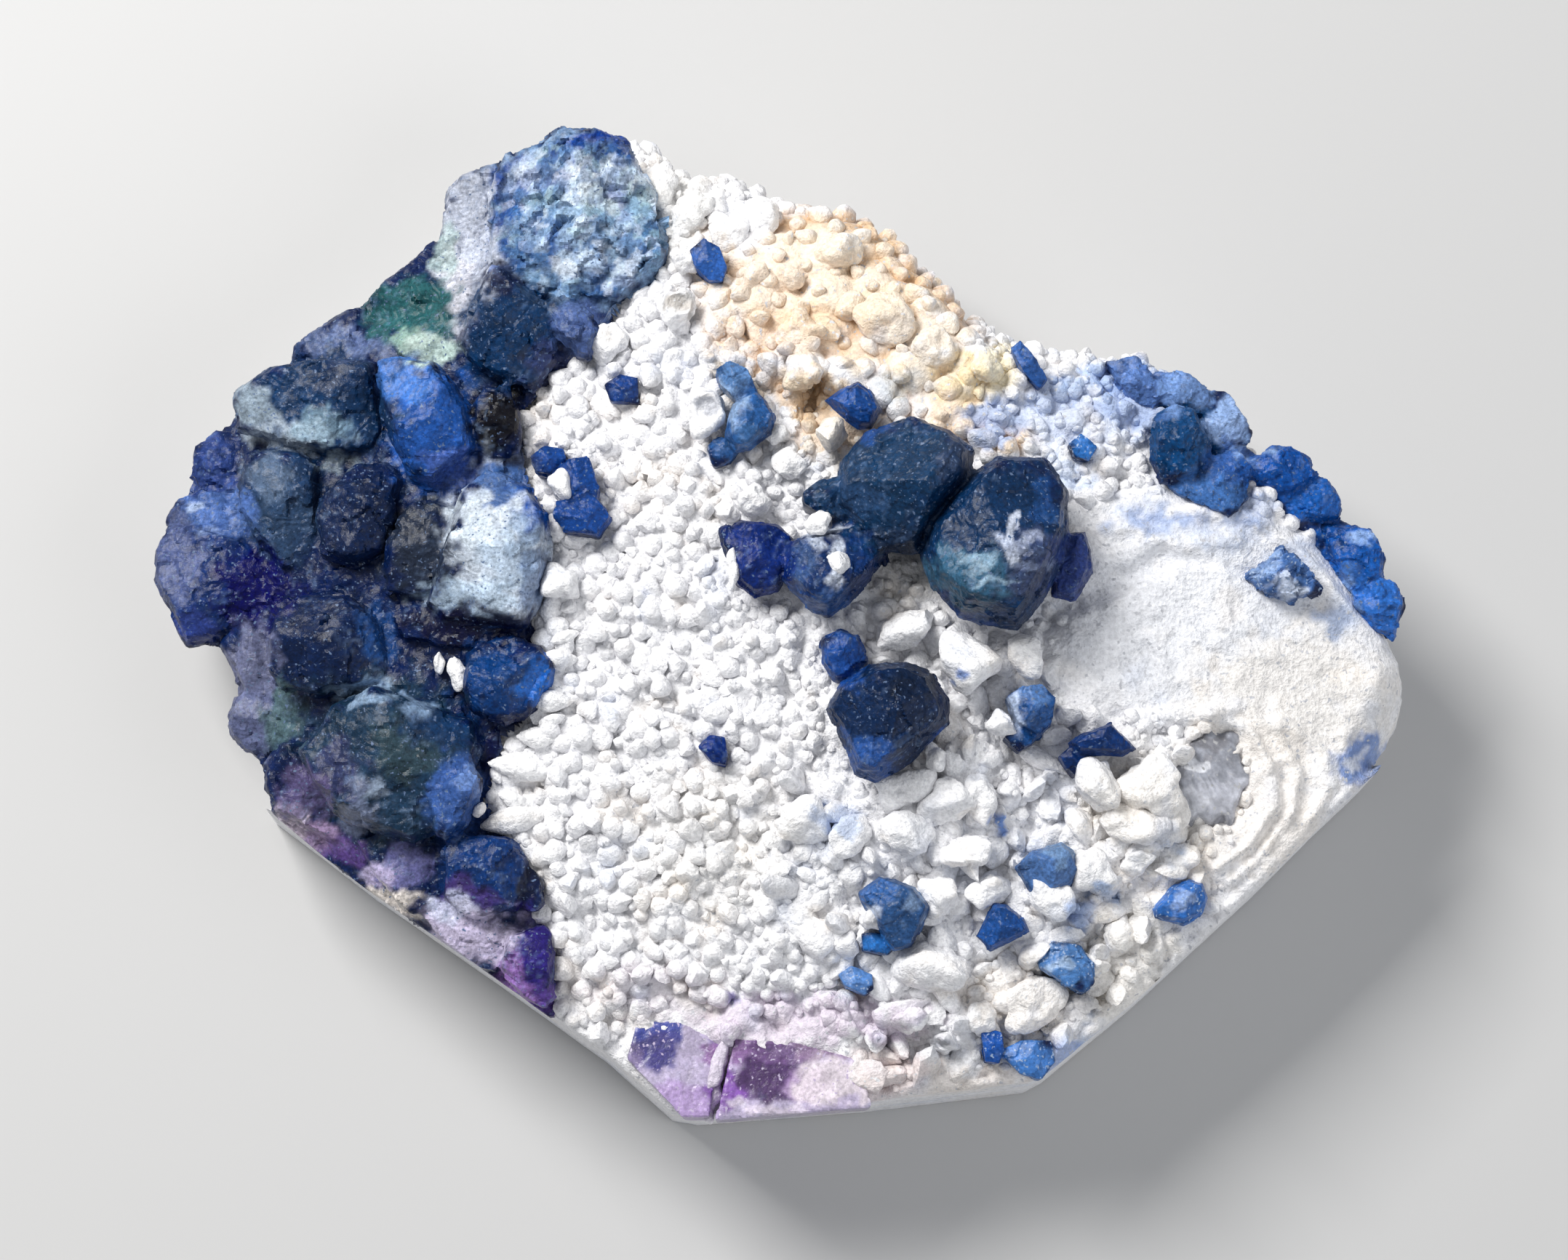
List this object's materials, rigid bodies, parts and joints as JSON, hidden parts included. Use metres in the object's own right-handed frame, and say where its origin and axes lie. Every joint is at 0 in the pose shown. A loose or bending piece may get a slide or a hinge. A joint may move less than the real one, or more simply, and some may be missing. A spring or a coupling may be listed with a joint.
{
  "type": "blue fluorite crystals on quartz matrix",
  "caption": "Mineral hand specimen: dark to bright blue and violet fluorite crystals on a white quartz druse, with sawn sides and a flat sawn back.",
  "frame": {"origin": "middle of the flat sawn back, at its level", "axes": "+X along the specimen's length, from the large blue crust to the chalky end; +Z out of the crystal face, away from the sawn back"},
  "size_m": [0.0742, 0.0588, 0.0225],
  "materials": {
    "quartz": "matt, rough druse",
    "fluorite": "satin, rough grown faces",
    "pale_fluorite": "satin, clear in places",
    "violet_fluorite": "glossy, sawn and cleaved"
  },
  "bodies": {
    "root": {"matrix": "quartz", "left_fluorite_crust": "fluorite", "centre_crystal_cluster": "fluorite", "lower_crystal_cluster": "fluorite", "upper_crystal_cluster": "fluorite", "upper_right_crystal": "fluorite", "druse_small_crystal": "fluorite", "right_crystal_pair": "fluorite", "angular_crystal_pair": "fluorite", "triangular_crystal": "fluorite", "lower_crystal_pair": "fluorite", "lower_small_crystal": "fluorite", "pale_blue_crystal": "pale_fluorite", "edge_round_crystal": "pale_fluorite", "pale_blue_small_crystal": "pale_fluorite", "bottom_crystal_pair": "pale_fluorite", "right_rim_crust": "fluorite", "frosted_blue_crystal": "pale_fluorite", "right_small_crystal": "pale_fluorite", "top_edge_crystal": "fluorite", "square_small_crystal": "fluorite", "ring_crystal_cluster": "fluorite", "top_small_crystal": "fluorite", "violet_block_left": "violet_fluorite", "violet_block_right": "violet_fluorite"}
  },
  "joints": []
}
